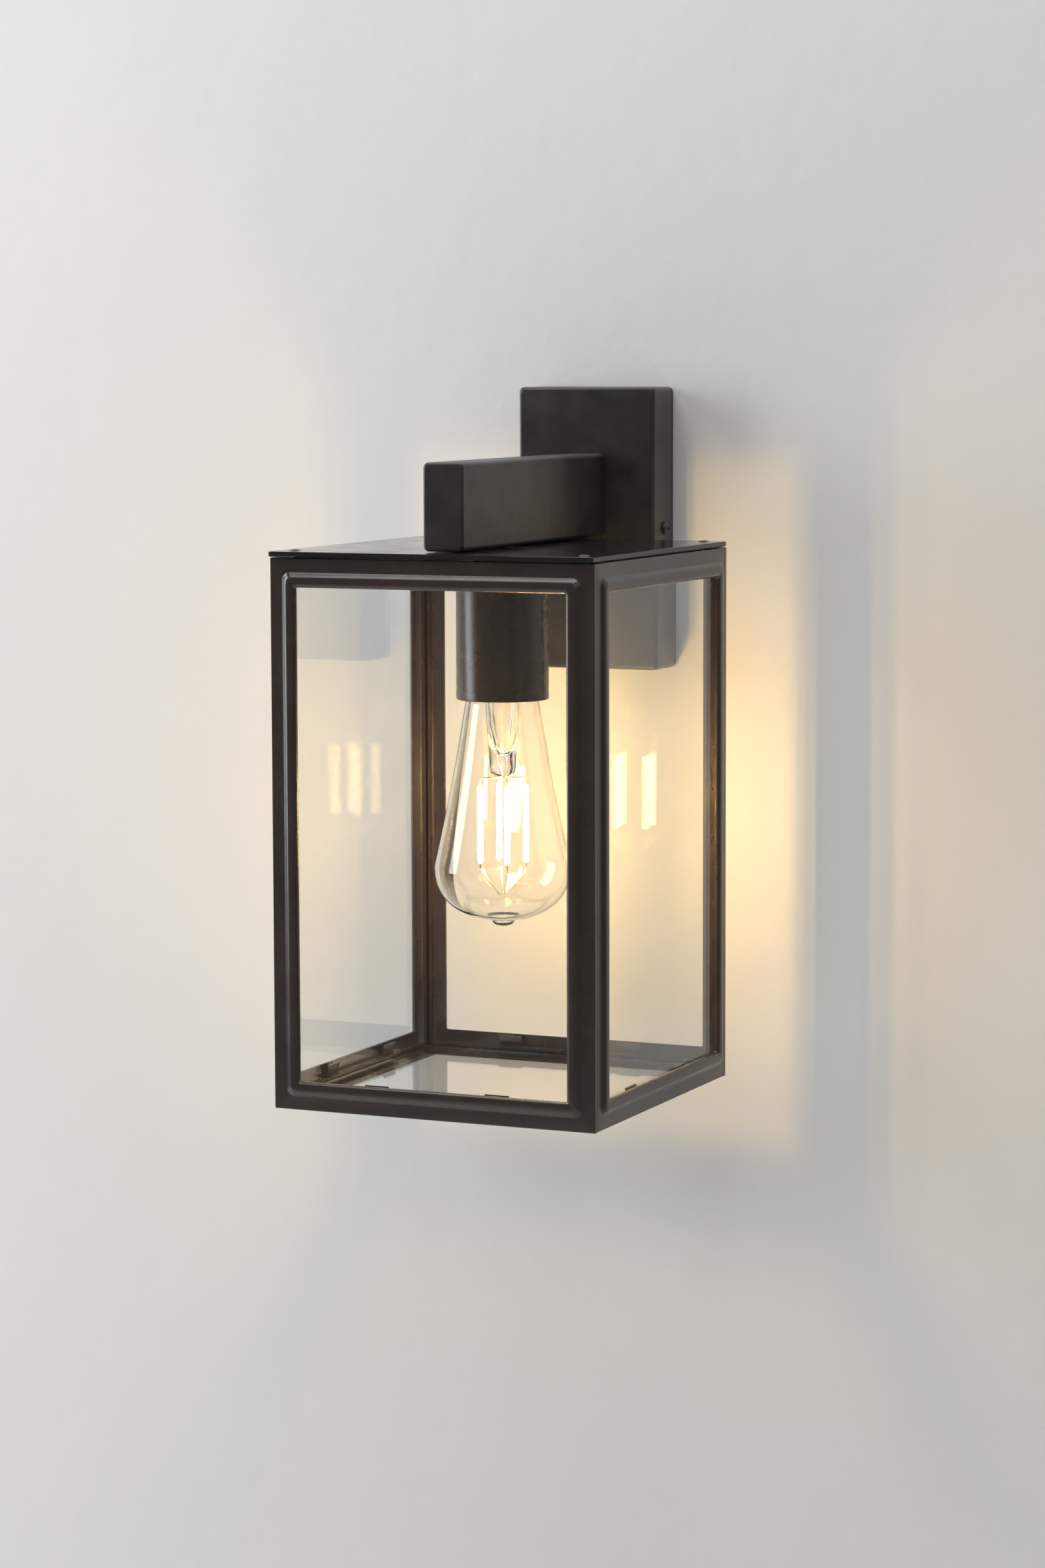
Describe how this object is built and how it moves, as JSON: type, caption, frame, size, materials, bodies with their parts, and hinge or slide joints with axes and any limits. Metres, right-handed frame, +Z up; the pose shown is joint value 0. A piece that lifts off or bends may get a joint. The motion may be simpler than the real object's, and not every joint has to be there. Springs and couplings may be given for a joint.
{
  "type": "outdoor wall lantern",
  "caption": "Square glazed wall lantern: black framed cage under a flat lid, hung from a box-section arm on a wall cover, with a screw-in filament lamp.",
  "frame": {"origin": "centre of the wall bracket's back face, on the wall, at the middle of the wall cover", "axes": "+X right as seen from the room, +Y into the wall, +Z up"},
  "size_m": [0.164, 0.2047, 0.328],
  "materials": {
    "black_paint": "satin powder coat",
    "lid_paint": "semi-gloss powder coat",
    "zinc_steel": "zinc plated",
    "black_screws": "blackened",
    "foam": "matt",
    "rubber": "matt",
    "nylon": "matt",
    "brass": "plain",
    "aluminium": "machined",
    "porcelain": "glazed",
    "brown_insulation": "satin",
    "blue_insulation": "satin",
    "green_insulation": "satin",
    "pane_glass": "clear",
    "bulb_glass": "clear",
    "cap_insulation": "gloss",
    "nickel": "satin nickel",
    "solder": "dull",
    "support_wire": "bright",
    "led_phosphor": "matt"
  },
  "bodies": {
    "fixture": {"wall_bracket": "zinc_steel", "wall_gasket": "foam", "wall_cover": "black_paint", "cover_screw_left": "black_screws", "cover_screw_right": "black_screws", "terminal_block": "nylon", "earth_screw": "brass", "arm_tube": "black_paint", "arm_rear_block": "aluminium", "arm_screw_lower": "zinc_steel", "arm_screw_upper": "zinc_steel", "wire_bush": "rubber", "lid_plate": "lid_paint", "lid_screw_front_left": "black_screws", "lid_screw_front_right": "black_screws", "lid_screw_back_left": "black_screws", "lid_screw_back_right": "black_screws", "lid_arm_screw_front": "black_screws", "lid_arm_screw_rear": "black_screws", "threaded_nipple": "brass", "nipple_nut": "brass", "lampholder_cup": "black_paint", "lampholder_body": "porcelain", "centre_contact": "brass", "holder_terminal_neutral": "brass", "holder_terminal_live": "brass", "socket_shell": "brass", "wire_live": "brown_insulation", "wire_neutral": "blue_insulation", "wire_earth": "green_insulation"},
    "cage": {"front_frame": "black_paint", "front_pane": "pane_glass", "glass_clip_front": "black_paint", "back_frame": "black_paint", "back_pane": "pane_glass", "glass_clip_back": "black_paint", "left_frame": "black_paint", "left_pane": "pane_glass", "glass_clip_left": "black_paint", "right_frame": "black_paint", "right_pane": "pane_glass", "glass_clip_right": "black_paint", "bottom_frame": "black_paint", "bottom_pane": "pane_glass", "corner_bracket_front_left": "black_paint", "corner_bracket_front_right": "black_paint", "corner_bracket_back_left": "black_paint", "corner_bracket_back_right": "black_paint"},
    "bulb_tip": {"bulb_tip_contact": "solder"},
    "bulb": {"bulb_cap_insulator": "cap_insulation", "bulb_cap_shell": "nickel", "bulb_envelope": "bulb_glass", "bulb_stem": "bulb_glass", "filament_support_upper": "support_wire", "filament_support_lower": "support_wire", "led_filament_1": "led_phosphor", "led_filament_2": "led_phosphor", "led_filament_3": "led_phosphor", "led_filament_4": "led_phosphor"}
  },
  "joints": [
    {"name": "cage_drop", "type": "slide", "parent": "fixture", "child": "cage", "axis": [0, 0, -1], "range_m": [0, 0.26]},
    {"name": "bulb_travel", "type": "slide", "parent": "fixture", "child": "bulb_tip", "axis": [0, 0, 1], "range_m": [-0.0182, 0]},
    {"name": "bulb_turn", "type": "hinge", "parent": "bulb_tip", "child": "bulb", "pos_m": [0, -0.1225, -0.1812], "axis": [0, 0, 1], "range_deg": [-1800, 0]}
  ],
  "couplings": [
    {"joint": "bulb_travel", "follows": "bulb_turn", "m_per_rad": 0.00057757}
  ]
}
